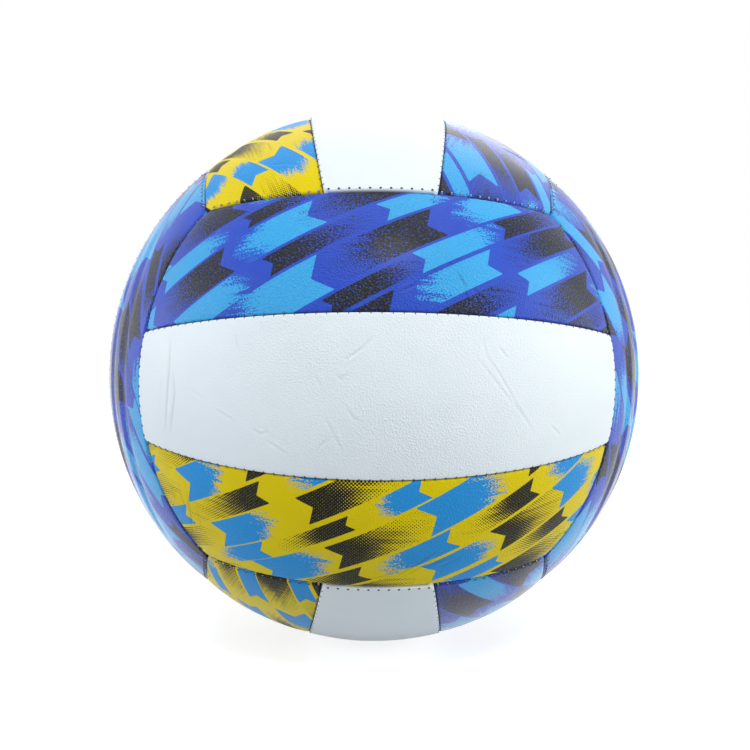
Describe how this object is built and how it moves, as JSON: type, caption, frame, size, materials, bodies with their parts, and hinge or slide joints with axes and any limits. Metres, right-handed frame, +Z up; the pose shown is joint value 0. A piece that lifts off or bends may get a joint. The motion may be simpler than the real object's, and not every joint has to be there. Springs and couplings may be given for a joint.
{
  "type": "volleyball",
  "caption": "Machine-stitched indoor volleyball: padded synthetic leather strips sewn in crossing groups of three round a rubber bladder with a needle valve.",
  "frame": {"origin": "centre of the ball", "axes": "+Z up, the pictured face of horizontal strips looks along -Y, and the valve's axis is +Y, out of the back"},
  "size_m": [0.21, 0.21, 0.21],
  "materials": {
    "white_cover": "semi-gloss",
    "blue_print_cover": "semi-gloss",
    "yellow_print_cover": "semi-gloss",
    "foam_backing": "matt",
    "seam_thread": "matt",
    "bladder_rubber": "satin",
    "valve_rubber": "satin"
  },
  "bodies": {
    "root": {"front_lower_panel": "yellow_print_cover", "front_lower_backing": "foam_backing", "front_middle_panel": "white_cover", "front_middle_backing": "foam_backing", "front_upper_panel": "blue_print_cover", "front_upper_backing": "foam_backing", "front_seam_threads": "seam_thread", "back_lower_panel": "yellow_print_cover", "back_lower_backing": "foam_backing", "back_middle_panel": "white_cover", "back_middle_backing": "foam_backing", "back_upper_panel": "blue_print_cover", "back_upper_backing": "foam_backing", "back_seam_threads": "seam_thread", "top_left_panel": "yellow_print_cover", "top_left_backing": "foam_backing", "top_middle_panel": "white_cover", "top_middle_backing": "foam_backing", "top_right_panel": "blue_print_cover", "top_right_backing": "foam_backing", "top_seam_threads": "seam_thread", "bottom_left_panel": "yellow_print_cover", "bottom_left_backing": "foam_backing", "bottom_middle_panel": "white_cover", "bottom_middle_backing": "foam_backing", "bottom_right_panel": "blue_print_cover", "bottom_right_backing": "foam_backing", "bottom_seam_threads": "seam_thread", "left_front_panel": "blue_print_cover", "left_front_backing": "foam_backing", "left_middle_panel": "white_cover", "left_middle_backing": "foam_backing", "left_rear_panel": "yellow_print_cover", "left_rear_backing": "foam_backing", "left_seam_threads": "seam_thread", "right_front_panel": "blue_print_cover", "right_front_backing": "foam_backing", "right_middle_panel": "white_cover", "right_middle_backing": "foam_backing", "right_rear_panel": "yellow_print_cover", "right_rear_backing": "foam_backing", "right_seam_threads": "seam_thread", "bladder": "bladder_rubber", "valve_housing": "bladder_rubber", "valve_plug": "valve_rubber"}
  },
  "joints": []
}
